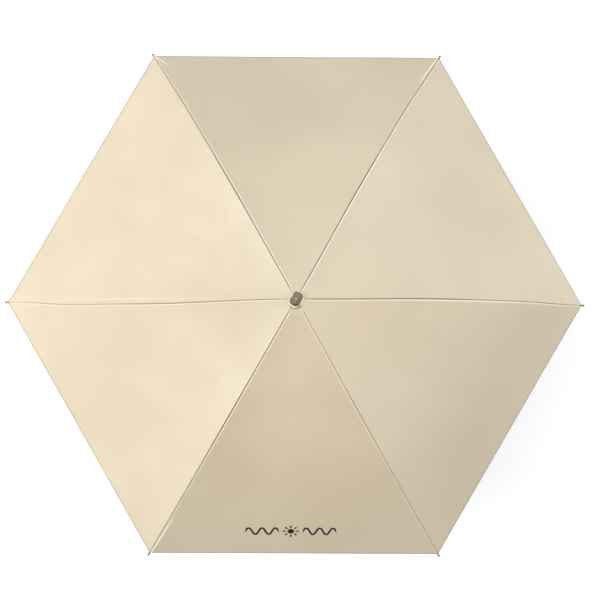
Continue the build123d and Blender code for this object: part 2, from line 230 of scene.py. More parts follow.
def cloth_top(rib, side, x, y):
    """Height of the cloth's top side over the crown's pivots."""
    level, across = levels(x, y)
    soft = np.sqrt(y**2 + RIDGE**2) - RIDGE
    round_off = 1 - (1 - across) ** 2
    wide = np.maximum(np.minimum(WIDE_KINK, WIDE_SHARE * level), KINK)
    height = profile(x + soft * math.tan(HALF_STEP), KINK + (wide - KINK) * round_off)
    dip = np.sin(math.pi * np.clip((level - FLAT_U) / (HEM_U - FLAT_U), 0, 1))
    height = height - SAG * dip * round_off
    azimuth = STEP * (rib - 1)
    world_x = x * math.cos(azimuth) - y * math.sin(azimuth)
    world_y = x * math.sin(azimuth) + y * math.cos(azimuth)
    quiet = ramp(level, *UNEVEN_COMES) * (1 - UNEVEN_LOSS * ramp(level, HEM_U - UNEVEN_GOES, HEM_U))
    height = height + UNEVEN * waves(world_x, world_y) * quiet * across * (2 - across)
    height = height + creases(rib, side, x, y)
    small = seam_size(level)
    offset = seam_offset(rib, x, y) / MM / small
    section = sum(size * np.exp(-(((offset - centre) / half) ** 2)) for size, centre, half in SEAM_SECTION)
    height = height + MM * small * seam_strength(x) * section
    from_hem = HEM_U - level
    height = height + HEM_STEP * (1 - ramp(from_hem, HEM_WIDTH - HEM_EDGE[0], HEM_WIDTH + HEM_EDGE[1]))
    depth, half = STITCH_GROOVE
    return height - depth * np.exp(-(((from_hem - STITCH_UP) / half) ** 2))


def cloth_normal(rib, side, x, y):
    h = SLOPE_STEP
    slope_x = (cloth_top(rib, side, x + h, y) - cloth_top(rib, side, x - h, y)) / (2 * h)
    slope_y = (cloth_top(rib, side, x, y + h) - cloth_top(rib, side, x, y - h)) / (2 * h)
    normal = np.stack([-slope_x, -slope_y, np.ones_like(x)], -1)
    return normal / np.linalg.norm(normal, axis=-1, keepdims=True)


def to_world(rib, points):
    """Rib frame to row frame for an array of points or directions, last axis x, y, z."""
    a = STEP * (rib - 1)
    turn = np.array([[math.cos(a), -math.sin(a), 0], [math.sin(a), math.cos(a), 0], [0, 0, 1]])
    return points @ turn.T


# side on which the rosette lies off centre and its rim stands off the canopy, as an azimuth and a direction
LIFTED_SIDE = math.radians(210)
LIFTED = (math.cos(LIFTED_SIDE), math.sin(LIFTED_SIDE), 0)
ROSETTE_SHIFT = 1.2 * MM


# ---- node materials ----------------------------------------------------------------------------
class Nodes:
    """Short calls for building one material's node tree."""

    MIX_SOCKETS = (0, 6, 7)         # of a colour mix: share, first colour, second colour

    def __init__(self, name):
        self.material = bpy.data.materials.new(name)
        self.material.use_nodes = True
        self.tree = self.material.node_tree
        self.shader = self.tree.nodes["Principled BSDF"]

    def add(self, kind, **inputs):
        node = self.tree.nodes.new(kind)
        for key, value in inputs.items():
            self.set(node, key.replace("_", " "), value)
        return node

    def set(self, node, key, value):
        socket = node.inputs[int(key)] if key.isdigit() else node.inputs[key]
        if isinstance(value, bpy.types.NodeSocket):
            self.tree.links.new(value, socket)
        else:
            socket.default_value = value

    def math(self, operation, a, b=0.0, c=0.0):
        node = self.tree.nodes.new("ShaderNodeMath")
        node.operation = operation
        for index, value in enumerate((a, b, c)):
            self.set(node, str(index), value)
        return node.outputs[0]

    def smooth(self, value, low, high, start=0.0, end=1.0):
        node = self.tree.nodes.new("ShaderNodeMapRange")
        node.interpolation_type = "SMOOTHSTEP"
        numbers = {"Value": value, "From Min": low, "From Max": high, "To Min": start, "To Max": end}
        for key, number in numbers.items():
            self.set(node, key, number)
        return node.outputs[0]

    def mix(self, share, a, b, blend="MIX"):
        node = self.tree.nodes.new("ShaderNodeMix")
        node.data_type = "RGBA"
        node.blend_type = blend
        for index, value in zip(self.MIX_SOCKETS, (share, a, b)):
            self.set(node, str(index), value)
        return node.outputs[2]

    def tint(self, color, other, mask, share=1.0):
        """Lays another colour over, where the mask is 1, as far as the share."""
        return self.mix(mask if share == 1.0 else self.math("MULTIPLY", mask, share), color, other)

    def noise(self, where, scale, detail=3.0, rough=0.5):
        node = self.add("ShaderNodeTexNoise", Vector=where, Scale=scale, Detail=detail, Roughness=rough)
        return node.outputs["Fac"]

    def stretched(self, where, scale):
        node = self.add("ShaderNodeMapping", Vector=where)
        node.inputs["Scale"].default_value = scale
        return node.outputs[0]

    def place(self):
        return self.add("ShaderNodeTexCoord").outputs["Object"]

    def layer(self, name):
        """Both values of a mesh's coordinate layer."""
        layer = self.add("ShaderNodeUVMap")
        layer.uv_map = name
        return self.add("ShaderNodeSeparateXYZ", Vector=layer.outputs[0]).outputs[:2]

    def height(self, where):
        return self.add("ShaderNodeSeparateXYZ", Vector=where).outputs[2]

    def vector(self, operation, a, b=(0, 0, 0), output="Vector"):
        node = self.tree.nodes.new("ShaderNodeVectorMath")
        node.operation = operation
        for index, value in enumerate((a, b)):
            self.set(node, str(index), value)
        return node.outputs[output]

    def length(self, where):
        return self.vector("LENGTH", where, output="Value")

    def along(self, where, direction):
        return self.vector("DOT_PRODUCT", where, direction, "Value")

    def bump(self, height, strength, distance, normal=None):
        node = self.add("ShaderNodeBump", Height=height, Strength=strength, Distance=distance)
        if normal is not None:
            self.set(node, "Normal", normal)
        return node.outputs[0]

    def finish(self, **inputs):
        for key, value in inputs.items():
            self.set(self.shader, key.replace("_", " "), value)
        return self.material


def grey(value, warmth=0.0):
    return (value * (1 + warmth), value, value * (1 - warmth), 1)


CHAMPAGNE = (0.512, 0.442, 0.330, 1)
CHAMPAGNE_LIGHT = (0.530, 0.460, 0.346, 1)
CHAMPAGNE_DEEP = (0.490, 0.420, 0.310, 1)
# painted shade in a seam's groove, and painted highlight on its welt
SEAM_SHADE = (0.085, 0.060, 0.034, 1)
SEAM_HIGHLIGHT = (0.740, 0.690, 0.580, 1)
# painted highlight along corner creases
CREASE_HIGHLIGHT = (0.80, 0.75, 0.63, 1)
THREAD = (0.38, 0.32, 0.235, 1)
INK = (0.008, 0.004, 0.003, 1)
COATING = (0.050, 0.047, 0.045, 1)
COATING_PALE = grey(0.060, 0.03)
HEM_SHADOW = grey(0.20, 0.05)
BLACK = (0, 0, 0, 1)
SHEEN = 0.18
GLOSS = 0.42
# bands beside a seam, off its line: centre, half width, soft edge
SEAM_GROOVE_BAND = (0.0, 0.78 * MM, 0.6 * MM)
SEAM_WELT_BAND = (1.9 * MM, 0.75 * MM, 0.9 * MM)
OVERLOCK_BAND = (3.4 * MM, 0.55 * MM, 0.4 * MM)


def weave(n, pitch):
    """The cloth's coordinates, across a gore and up from its hem, and the height of a plain weave."""
    across, up = n.layer("cloth")
    turn = 2 * math.pi / pitch
    threads = [n.math("SINE", n.math("MULTIPLY", way, turn)) for way in (across, up)]
    return across, up, n.math("MULTIPLY", *threads)


def dashes(n, along, pitch, share):
    """1 on dashes that fill that share of each pitch."""
    soft = 0.06
    wave = n.math("PINGPONG", n.math("DIVIDE", along, pitch), 0.5)
    return n.smooth(wave, 0.5 * share - soft, 0.5 * share + soft, 1.0, 0.0)


def band(n, distance, centre, half, soft):
    """1 within half of centre, fading over soft."""
    off = n.math("ABSOLUTE", n.math("SUBTRACT", distance, centre))
    return n.smooth(off, half - soft / 2, half + soft / 2, 1.0, 0.0)


def hem_stitches(n, across, up, half):
    """1 on the row of stitches along the hem."""
    row = band(n, up, STITCH_UP, half, 0.2 * MM)
    return n.math("MULTIPLY", row, dashes(n, across, STITCH_PITCH, STITCH_SHARE))


# printed mark: a sun with rays between two rows of waves
PRINT_ABOVE_HEM = 50 * MM           # up the cloth
PRINT_SHIFT = -5 * MM               # along the hem from the gore's mid-line
SUN_RADIUS = 5.2 * MM
RAY_COUNT = 8
RAY_SPAN = (7.0 * MM, 12.0 * MM)
RAY_HALF_ANGLE = 0.17               # share of the angle between two rays
RAY_SOFT = 0.04
PRINT_WAVE_SPAN = (18 * MM, 68 * MM)
PRINT_WAVE_LENGTH = 20 * MM
PRINT_WAVE_HEIGHT = 6.6 * MM
PRINT_LINE_HALF = 1.65 * MM
INK_EDGE = 0.35 * MM


def sun_mask(n, x, y):
    radius = n.math("SQRT", n.math("ADD", n.math("MULTIPLY", x, x), n.math("MULTIPLY", y, y)))
    angle = n.math("DIVIDE", n.math("ARCTAN2", y, x), 2 * math.pi / RAY_COUNT)
    turned = n.math("PINGPONG", angle, 0.5)
    ray = n.smooth(turned, RAY_HALF_ANGLE - RAY_SOFT, RAY_HALF_ANGLE + RAY_SOFT, 1.0, 0.0)
    middle, half = sum(RAY_SPAN) / 2, (RAY_SPAN[1] - RAY_SPAN[0]) / 2
    rays = n.math("MULTIPLY", ray, band(n, radius, middle, half, INK_EDGE))
    return n.math("MAXIMUM", rays, n.smooth(radius, SUN_RADIUS - INK_EDGE, SUN_RADIUS, 1.0, 0.0))


def wave_mask(n, x, y):
    """A row of waves on each side, its line as thick on the slopes as on the crests."""
    side = n.math("SUBTRACT", n.math("ABSOLUTE", x), PRINT_WAVE_SPAN[0])
    phase = n.math("MULTIPLY", side, 2 * math.pi / PRINT_WAVE_LENGTH)
    steepest = PRINT_WAVE_HEIGHT * 2 * math.pi / PRINT_WAVE_LENGTH
    slope = n.math("MULTIPLY", n.math("COSINE", phase), steepest)
    stretch = n.math("SQRT", n.math("ADD", n.math("MULTIPLY", slope, slope), 1.0))
    off = n.math("SUBTRACT", y, n.math("MULTIPLY", n.math("SINE", phase), PRINT_WAVE_HEIGHT))
    line = band(n, n.math("DIVIDE", off, stretch), 0.0, PRINT_LINE_HALF, INK_EDGE)
    half = (PRINT_WAVE_SPAN[1] - PRINT_WAVE_SPAN[0]) / 2
    return n.math("MULTIPLY", line, band(n, side, half, half, INK_EDGE))


def ink_mask(n, across, up):
    x = n.math("SUBTRACT", across, PRINT_SHIFT)
    y = n.math("SUBTRACT", up, PRINT_ABOVE_HEM)
    return n.math("MAXIMUM", sun_mask(n, x, y), wave_mask(n, x, y))


# deep creases at hem corners, drawn with a painted highlight and a bump, by gore: corner (1 by the next rib, -1 by
# the gore's own rib), angle from the hem, how far inside the corner it starts, length
ALONG_SEAM = math.radians(65)
CORNER_CREASES = {
    1: ((1, math.radians(44), 0.0, 38 * MM), (-1, ALONG_SEAM, 2.1 * MM, 80 * MM)),
    4: ((-1, ALONG_SEAM, 2.2 * MM, 100 * MM),),
}
CORNER_CREASE_HALF = 0.9 * MM
CORNER_CREASE_SOFT = 1.1 * MM
CORNER_CREASE_FULL = 0.6            # share of its length before it starts to fade


def corner_crease(n, across, up, corner, turn, inset, reach):
    """1 along a crease that runs in from a hem corner."""
    inward = n.math("SUBTRACT", HEM_U * math.sin(HALF_STEP), n.math("MULTIPLY", across, corner))
    cos, sin = math.cos(turn), math.sin(turn)
    along = n.math("ADD", n.math("MULTIPLY", inward, cos), n.math("MULTIPLY", up, sin))
    off = n.math("SUBTRACT", n.math("MULTIPLY", inward, sin), n.math("MULTIPLY", up, cos))
    fade = n.smooth(along, CORNER_CREASE_FULL * reach, reach, 1.0, 0.0)
    return n.math("MULTIPLY", band(n, off, inset, CORNER_CREASE_HALF, CORNER_CREASE_SOFT), fade)


# painted shade: satin shades a little differently gore by gore with the way its threads run to the light, so each
# gore's colour is darkened a little
GORE_SHADE = {
    1: grey(0.913),
    2: grey(0.985),
    3: grey(0.99),
    4: (0.885, 0.853, 0.824, 1),
    5: (0.945, 0.936, 0.925, 1),
    6: grey(0.955),
}
PRINTED_GORE = 4
HEM_SHADE = {5: 0.11}               # how much darker a gore grows towards its hem
HEM_SHADE_SPAN = (60 * MM, 210 * MM)
HEM_SHADOW_SPAN = (1.2 * MM, 2.6 * MM)


def cloth_material(gore):
    """Champagne satin of one gore: fine weave, seam line with painted shade in its groove and a painted highlight
    on its welt, stitched hem, painted highlights along some corner creases, painted shade gore by gore.
    """
    n = Nodes(f"cloth_satin_{gore}")
    where = n.place()
    across, up, threads = weave(n, WEAVE_PITCH)
    offset, strength = n.layer("seam")
    slub = n.noise(where, 420.0, 2.0)
    color = n.mix(n.smooth(n.noise(where, 5.5, 2.0), 0.3, 0.7), CHAMPAGNE_DEEP, CHAMPAGNE_LIGHT)
    color = n.tint(color, CHAMPAGNE, n.smooth(slub, 0.35, 0.7), 0.35)
    # painted shade, gore by gore
    color = n.mix(1.0, color, GORE_SHADE[gore], "MULTIPLY")
    color = n.tint(color, BLACK, n.smooth(up, *HEM_SHADE_SPAN, HEM_SHADE.get(gore, 0.0), 0.0))
    groove = n.math("MULTIPLY", band(n, offset, *SEAM_GROOVE_BAND), strength)
    # painted shade in the seam's groove
    color = n.tint(color, SEAM_SHADE, groove, 0.95)
    # painted highlight on the seam's raised welt
    welt = n.math("MULTIPLY", band(n, offset, *SEAM_WELT_BAND), strength)
    color = n.tint(color, SEAM_HIGHLIGHT, welt, 0.75)
    stitch = hem_stitches(n, across, up, STITCH_HALF)
    color = n.tint(color, THREAD, stitch, 0.55)
    color = n.tint(color, HEM_SHADOW, n.smooth(up, *HEM_SHADOW_SPAN, 0.8, 0.0))
    rough = n.smooth(n.noise(where, 60.0, 4.0), 0.3, 0.7, 0.40, 0.50)
    sheen, gloss = SHEEN, GLOSS
    if gore == PRINTED_GORE:
        mask = ink_mask(n, across, up)
        color = n.tint(color, INK, mask)
        rough = n.math("ADD", rough, n.math("MULTIPLY", mask, 0.12))
        sheen = n.smooth(mask, 0.0, 1.0, SHEEN, 0.0)
        gloss = n.smooth(mask, 0.0, 1.0, GLOSS, 0.2)
    fine = n.bump(threads, 0.12, 0.05 * MM)
    fine = n.bump(slub, 0.10, 0.08 * MM, fine)
    fine = n.bump(stitch, 0.6, 0.15 * MM, fine)
    for place in CORNER_CREASES.get(gore, ()):
        crease = corner_crease(n, across, up, *place)
        # painted highlight along the crease
        color = n.tint(color, CREASE_HIGHLIGHT, crease)
        fine = n.bump(crease, 0.8, 0.8 * MM, fine)
    return n.finish(Base_Color=color, Roughness=rough, Normal=fine, Specular_IOR_Level=gloss,
                    Sheen_Weight=sheen, Sheen_Roughness=0.45, Sheen_Tint=(1.0, 0.95, 0.86, 1))


def coating_material():
    """Dark light-proof coating on the cloth's underside, with the seam's overlock thread."""
    n = Nodes("cloth_underside")
    where = n.place()
    across, up, threads = weave(n, WEAVE_PITCH)
    offset, _ = n.layer("seam")
    along = n.height(where)
    color = n.mix(n.smooth(n.noise(where, 26.0, 5.0, 0.6), 0.3, 0.75), COATING, COATING_PALE)
    lock = band(n, n.math("ABSOLUTE", offset), *OVERLOCK_BAND)
    lock = n.math("MULTIPLY", lock, dashes(n, along, 1.6 * MM, 0.6))
    thread = n.math("MAXIMUM", lock, hem_stitches(n, across, up, STITCH_HALF_UNDER))
    color = n.tint(color, grey(0.16, 0.08), thread, 0.8)
    rough = n.smooth(n.noise(where, 90.0, 3.0), 0.3, 0.7, 0.42, 0.58)
    normal = n.bump(threads, 0.25, 0.08 * MM)
    normal = n.bump(n.noise(where, 700.0, 2.0), 0.2, 0.1 * MM, normal)
    normal = n.bump(thread, 0.7, 0.2 * MM, normal)
    return n.finish(Base_Color=color, Roughness=rough, Normal=normal, Specular_IOR_Level=0.4)


def plastic_material(name, low, high, worn, rough, grain, depth):
    """Moulded plastic: fine spark texture, slight mottling, paler scuffs."""
    n = Nodes(name)
    where = n.place()
    color = n.mix(n.smooth(n.noise(where, 70.0, 5.0, 0.6), 0.3, 0.7), low, high)
    scuff = n.smooth(n.noise(n.stretched(where, (1, 1, 0.35)), 260.0, 6.0, 0.7), 0.66, 0.80)
    color = n.tint(color, worn, scuff, 0.35)
    rough_map = n.smooth(n.noise(where, 150.0, 4.0), 0.3, 0.7, rough - 0.06, rough + 0.08)
    normal = n.bump(n.noise(where, grain, 3.0, 0.6), 0.35, depth)
    return n.finish(Base_Color=color, Roughness=rough_map, Normal=normal, Specular_IOR_Level=0.45)


def steel_material(name, low, high, rough, scratch, lines, stretch=(1, 1, 1)):
    """Plated metal: drawn lines along the piece, stains and a slightly uneven gloss."""
    n = Nodes(name)
    where = n.place()
    color = n.mix(n.smooth(n.noise(where, 45.0, 4.0, 0.6), 0.3, 0.7), low, high)
    drawn = n.noise(n.stretched(where, stretch), lines, 4.0, 0.65)
    spots = n.smooth(n.noise(where, 320.0, 5.0, 0.7), 0.62, 0.78)
    color = n.tint(color, grey(0.16, 0.08), spots, 0.22)
    rough_map = n.smooth(drawn, 0.35, 0.7, rough - 0.05, rough + 0.1)
    rough_map = n.math("ADD", rough_map, n.math("MULTIPLY", spots, 0.2))
    normal = n.bump(drawn, scratch, 0.03 * MM)
    return n.finish(Base_Color=color, Roughness=rough_map, Normal=normal, Metallic=1.0)


def cap_material():
    """Antiqued metal of the crown cap: mottled brown, with painted shade low down and on the rosette's lifted
    side.
    """
    n = Nodes("cap_antique_metal")
    where = n.place()
    mottle = n.noise(where, 460.0, 6.0, 0.66)
    color = n.mix(n.smooth(mottle, 0.32, 0.68), (0.090, 0.066, 0.036, 1), (0.255, 0.198, 0.116, 1))
    fleck = n.smooth(n.noise(where, 1100.0, 4.0, 0.6), 0.60, 0.74)
    color = n.tint(color, (0.34, 0.28, 0.18, 1), fleck, 0.4)
    stain = n.smooth(n.noise(where, 95.0, 3.0), 0.42, 0.62, 0.0, 0.45)
    color = n.tint(color, (0.085, 0.062, 0.036, 1), stain)
    base, top = (corner.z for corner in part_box("crown_cap"))
    # painted shade on the cap's sides, low down
    low = n.smooth(n.height(where), base, top - 0.4 * MM, 0.75, 0.0)
    color = n.tint(color, (0.060, 0.045, 0.034, 1), low)
    # painted shade on the cap's end towards the rosette's lifted side
    lifted_side_shade = n.smooth(n.along(where, LIFTED), 4.5 * MM, 8.5 * MM, 0.0, 0.6)
    color = n.tint(color, (0.040, 0.028, 0.018, 1), lifted_side_shade)
    rough = n.smooth(mottle, 0.3, 0.7, 0.52, 0.30)
    normal = n.bump(mottle, 0.30, 0.12 * MM)
    normal = n.bump(fleck, 0.25, 0.05 * MM, normal)
    return n.finish(Base_Color=color, Roughness=rough, Normal=normal, Metallic=0.75, Specular_IOR_Level=0.5)


def thread_material(name, low, high):
    """Twisted sewing thread."""
    n = Nodes(name)
    twist = n.noise(n.stretched(n.place(), (1, 1, 2.5)), 1500.0, 2.0)
    color = n.mix(n.smooth(twist, 0.3, 0.7), low, high)
    rough = n.smooth(twist, 0.3, 0.7, 0.6, 0.8)
    normal = n.bump(twist, 0.6, 0.1 * MM)
    return n.finish(Base_Color=color, Roughness=rough, Normal=normal, Sheen_Weight=0.3)


cloth_tops = {gore: cloth_material(gore) for gore in RIBS}
cloth_under = coating_material()
materials = {
    "cap_metal": cap_material(),
    "rivet": steel_material("rivet_nickel", grey(0.30, 0.24), grey(0.40, 0.20), 0.50, 0.1, 900.0),
    "dark_plastic": plastic_material(
        "plastic_dark", grey(0.018, 0.1), grey(0.035, 0.08), grey(0.11, 0.05), 0.46, 1500.0, 0.05 * MM),
    "handle_plastic": plastic_material(
        "handle_soft_touch", (0.070, 0.050, 0.036, 1), (0.105, 0.078, 0.058, 1), (0.20, 0.165, 0.13, 1),
        0.56, 1100.0, 0.08 * MM),
    "button_plastic": plastic_material(
        "button_gloss", (0.19, 0.14, 0.095, 1), (0.24, 0.18, 0.13, 1), (0.36, 0.30, 0.23, 1),
        0.26, 900.0, 0.02 * MM),
    "tube_chrome": steel_material(
        "tube_chrome", grey(0.46, -0.01), grey(0.55, -0.02), 0.18, 0.06, 330.0, stretch=(6, 6, 0.12)),
    "rib_steel": steel_material("rib_plated", grey(0.42, 0.02), grey(0.56, 0.01), 0.32, 0.15, 500.0),
    "pin_steel": steel_material("pin_bright", grey(0.55, 0.02), grey(0.72, 0.02), 0.24, 0.1, 900.0),
}
cloth_slots = {"canopy_fabric", "rosette_cloth"}
node_slot = {row["node"]: row["material_slot"] for row in frame["record"]["subparts"]}
for name, node in frame["nodes"].items():
    if node_slot[name] not in cloth_slots:
        node.data.materials.clear()
        node.data.materials.append(materials[node_slot[name]])


# ---- canopy ------------------------------------------------------------------------------------
def add_mesh(name, vertices, faces, normals=None):
    mesh = bpy.data.meshes.new(name)
    mesh.from_pydata(np.asarray(vertices).tolist(), [], faces)
    mesh.validate()
    mesh.polygons.foreach_set("use_smooth", [True] * len(mesh.polygons))
    if normals is not None:
        mesh.normals_split_custom_set_from_vertices(np.asarray(normals).tolist())
    piece = bpy.data.objects.new(name, mesh)
    bpy.context.scene.collection.objects.link(piece)
    return piece


def zone_levels(zone):
    start, end = ZONES[zone]
    if zone != "outer":
        return np.linspace(start, end, ZONE_ROWS[zone])
    regular = np.linspace(start, end - HEM_ROWS[0], ZONE_ROWS[zone])
    return np.concatenate([regular[:-1], end - HEM_ROWS])


def zone_grid(rib, side, zone):
    """Plan position of each grid point: rows run out from the crown, columns from seam to mid-line."""
    level = zone_levels(zone)[:, None]
    width = level * math.sin(HALF_STEP) * math.cos(HALF_STEP)
    small = np.clip(width / FULL_SEAM_WIDTH, 0, 1)
    near = SEAM_COLUMNS[None, :] * small
    eased = np.linspace(0, 1, FAR_COLUMNS + 1)[1:] ** FAR_POWER
    far = near[:, -1:] + (width - near[:, -1:]) * eased[None, :]
    offset = np.concatenate([near, far], 1)
    share = offset / width
    x = level * (1 - share * math.sin(HALF_STEP) ** 2)
    y = side * offset + seam_path(rib, x) * (1 - share) ** 2
    return level, share, x, y


def grid_faces(rows, columns, flip):
    """Closed thin sheet: top grid, bottom grid after it, and the rim between them."""
    count = rows * columns
    top, under, rim = [], [], []
    for r in range(rows - 1):
        for c in range(columns - 1):
            a = r * columns + c
            quad = (a, a + columns, a + columns + 1, a + 1)
            top.append(quad)
            under.append(tuple(count + v for v in reversed(quad)))
    border = list(range(columns))
    border += [r * columns + columns - 1 for r in range(1, rows)]
    border += [(rows - 1) * columns + c for c in range(columns - 2, -1, -1)]
    border += [r * columns for r in range(rows - 2, 0, -1)]
    for a, b in zip(border, border[1:] + border[:1]):
        rim.append((a, b, count + b, count + a))
    faces = top + under + rim
    if flip:
        faces = [tuple(reversed(face)) for face in faces]
    return faces, len(top), len(under)


def cloth_zone(rib, side, zone):
    level, share, x, y = zone_grid(rib, side, zone)
    rows, columns = x.shape
    height = cloth_top(rib, side, x, y)
    normal = cloth_normal(rib, side, x, y)
    top = np.stack([x, y, height + CROWN_Z], -1)
    offset = np.abs(y - seam_path(rib, x))
    from_hem = np.broadcast_to(HEM_U - level, x.shape)
    thick = CLOTH + ALLOWANCE * (1 - ramp(offset, ALLOWANCE_WIDTH - ALLOWANCE_EDGE, ALLOWANCE_WIDTH))
    hem_share = 1 - ramp(from_hem, HEM_WIDTH - HEM_EDGE[0], HEM_WIDTH)
    thick = np.maximum(thick, CLOTH + 2 * HEM_STEP * hem_share)
    under = top - normal * thick[..., None]
    points = to_world(rib, np.concatenate([top.reshape(-1, 3), under.reshape(-1, 3)]))
    normals = to_world(rib, np.concatenate([normal.reshape(-1, 3), -normal.reshape(-1, 3)]))
    faces, top_count, under_count = grid_faces(rows, columns, flip=side < 0)
    hand = "left" if side > 0 else "right"
    piece = add_mesh(f"cloth_rib{rib}_{hand}_{zone}", points, faces, normals)
    gore = rib if side > 0 else (rib - 2) % RIB_COUNT + 1
    mesh = piece.data
    mesh.materials.append(cloth_tops[gore])
    mesh.materials.append(cloth_under)
    index = np.zeros(len(mesh.polygons), np.int32)
    index[top_count:top_count + under_count] = 1
    mesh.polygons.foreach_set("material_index", index)
    paint_coordinates(mesh, rib, side, level, share, x, y)
    fold_with_rib(piece, rib, side, zone)
    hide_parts(f"canopy_panel_{gore}")


def slope_length(u):
    """Length along the cloth's mid-line from the hem to a level."""
    fine = np.linspace(INNER_U, HEM_U, 400)
    across = fine * math.cos(HALF_STEP)
    steps = np.hypot(np.diff(across), np.diff(profile(fine)))
    length = np.concatenate([[0], np.cumsum(steps)])
    return length[-1] - np.interp(u, fine, length)


def paint_coordinates(mesh, rib, side, level, share, x, y):
    """Coordinates for the node materials: across the gore and up from the hem, and off the seam with the strength
    of its painted shade and highlight.
    """
    up = np.broadcast_to(slope_length(level), x.shape)
    half = level * math.sin(HALF_STEP)
    across = side * (share - 1) * half
    offset = seam_offset(rib, x, y) / seam_size(level)
    # strength of the seam's painted shade and painted highlight, rib by rib and along its length
    strength = SEAM_SHADING_STRENGTH[rib] * seam_strength(x)
    loops = np.zeros(len(mesh.loops), np.int32)
    mesh.loops.foreach_get("vertex_index", loops)
    loops = loops % x.size
    for name, first, second in (("cloth", across, up), ("seam", offset, strength)):
        layer = mesh.uv_layers.new(name=name)
        values = np.stack([first.ravel()[loops], second.ravel()[loops]], 1)
        layer.data.foreach_set("uv", values.astype(np.float32).ravel())


def fold_with_rib(piece, rib, side, zone):
    """Rides on the rib's own link, with a mesh of its own."""
    slope = math.radians(ZONE_SLOPE[zone])
    along = np.array([math.cos(slope), 0, -math.sin(slope)])
    inward = np.array([-math.sin(HALF_STEP), side * math.cos(HALF_STEP), 0])
    axis = inward - (inward @ along) * along
    axis = to_world(rib, axis / np.linalg.norm(axis))
    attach(piece, f"{ZONE_BODY[zone]}_{rib}")
    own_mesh(piece)


for rib in RIBS:
    for side in (1, -1):
        for zone in ZONES:
            cloth_zone(rib, side, zone)


# ---- rosette under the cap -----------------------------------------------------------------------
def oblong_point(half_length, half_width, angle):
    """Point on an oblong with round ends, by direction."""
    straight = half_length - half_width
    direction = np.array([math.cos(angle), math.sin(angle)])
    reach = half_width / max(abs(direction[1]), 1e-9)
    if abs(direction[0]) * reach <= straight:
        return direction * reach
    b = abs(direction[0]) * straight
    return direction * (b + math.sqrt(max(b * b - straight**2 + half_width**2, 0)))




ROSETTE_AROUND = 96
ROSETTE_RINGS = 14
ROSETTE_HOLE = 1.0 * MM
ROSETTE_CLOTH = 0.7                 # share of its CAD thickness
RIM_STARTS = (0.72, 0.98)           # shares of the way out over which the rim leaves the plane
RIM_WAVES = ((7, 1, 0.16 * MM), (12, 0, 0.10 * MM))     # number round the rim, phase, height
RIM_LIFT = 0.7 * MM                 # on the lifted side
RIM_DROP = 0.25 * MM                # elsewhere
# painted shade towards the rosette's rim, and a line of painted shadow under the lifted part of its rim
ROSETTE_RIM_SHADE = (0.28, 0.235, 0.17, 1)
ROSETTE_SHADOW_ARC = (0.075, 0.055, 0.035, 1)


def rosette_point(half_length, half_width, angle, share):
    """Place in plan, and lift, of a point at a share of the way out."""
    edge = oblong_point(half_length, half_width, angle)
    inner = ROSETTE_HOLE * np.array([math.cos(angle), math.sin(angle)])
    x, y = inner + (edge - inner) * share + ROSETTE_SHIFT * share * np.array(LIFTED[:2])
    wave = sum(height * math.sin(number * angle + phase) for number, phase, height in RIM_WAVES)
    open_side = max(0.0, math.cos(angle - LIFTED_SIDE)) ** 2
    return x, y, float(ramp(share, *RIM_STARTS) * (wave + RIM_LIFT * open_side - RIM_DROP))


def rosette_faces():
    """Closed thin ring: top grid, bottom grid after it, inner and outer rims between them."""
    around = ROSETTE_AROUND
    count = around * ROSETTE_RINGS
    faces = []
    for ring in range(ROSETTE_RINGS - 1):
        for step in range(around):
            a, b = ring * around + step, ring * around + (step + 1) % around
            quad = (a, a + around, b + around, b)
            faces.append(quad)
            faces.append(tuple(count + v for v in reversed(quad)))
    for ring, flip in ((0, False), (ROSETTE_RINGS - 1, True)):
        for step in range(around):
            a, b = ring * around + step, ring * around + (step + 1) % around
            quad = (a, b, count + b, count + a)
            faces.append(tuple(reversed(quad)) if flip else quad)
    return faces


def rosette_material(half_length, half_width):
    """Pale cloth, with painted shade towards its rim and a dark line of painted shadow under the lifted part of
    its rim.
    """
    n = Nodes("rosette_cloth")
    where = n.place()
    grain = n.noise(where, 800.0, 3.0)
    color = n.mix(n.smooth(grain, 0.3, 0.7), (0.66, 0.59, 0.46, 1), (0.72, 0.65, 0.52, 1))
    centred = n.vector("SUBTRACT", where, tuple(ROSETTE_SHIFT * way for way in LIFTED))
    radius = n.length(n.stretched(centred, (1 / half_length, 1 / half_width, 0)))
    # painted shade towards the rim
    color = n.tint(color, ROSETTE_RIM_SHADE, n.smooth(radius, 0.80, 0.99, 0.0, 0.10))
    # painted shadow: a dark line under the lifted part of the rim
    turned = n.smooth(n.along(centred, tuple(way / half_width for way in LIFTED)), 0.72, 0.95)
    shadow_arc = n.math("MULTIPLY", turned, n.smooth(radius, 0.915, 0.94))
    color = n.tint(color, ROSETTE_SHADOW_ARC, shadow_arc, 0.85)
    return n.finish(Base_Color=color, Roughness=0.7, Normal=n.bump(grain, 0.3, 0.1 * MM), Sheen_Weight=0.2)


def rosette():
    """Small oblong of cloth between canopy and cap, pressed flat by the cap, its rim slightly wavy."""
    low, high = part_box("rosette")
    half_length, half_width = high.x, high.y
    top = np.array([
        rosette_point(half_length, half_width, math.tau * step / ROSETTE_AROUND, ring / (ROSETTE_RINGS - 1))
        for ring in range(ROSETTE_RINGS)
        for step in range(ROSETTE_AROUND)
    ])
    top[:, 2] += high.z
    under = top - np.array([0, 0, (high.z - low.z) * ROSETTE_CLOTH])
    piece = add_mesh("rosette_cloth", np.concatenate([top, under]), rosette_faces())
    piece.data.materials.append(rosette_material(half_length, half_width))
    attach(piece, "upper_shaft")
    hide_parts("rosette")


rosette()


# ---- sewn details ----------------------------------------------------------------------------------
COIL_STEPS = 14                     # points on each turn of thread
TIP_SLOPE = 40.5
TIP_THREAD_IN = 5.2 * MM            # from the ball's centre back along the rib
TIE_GAP = 0.3 * MM
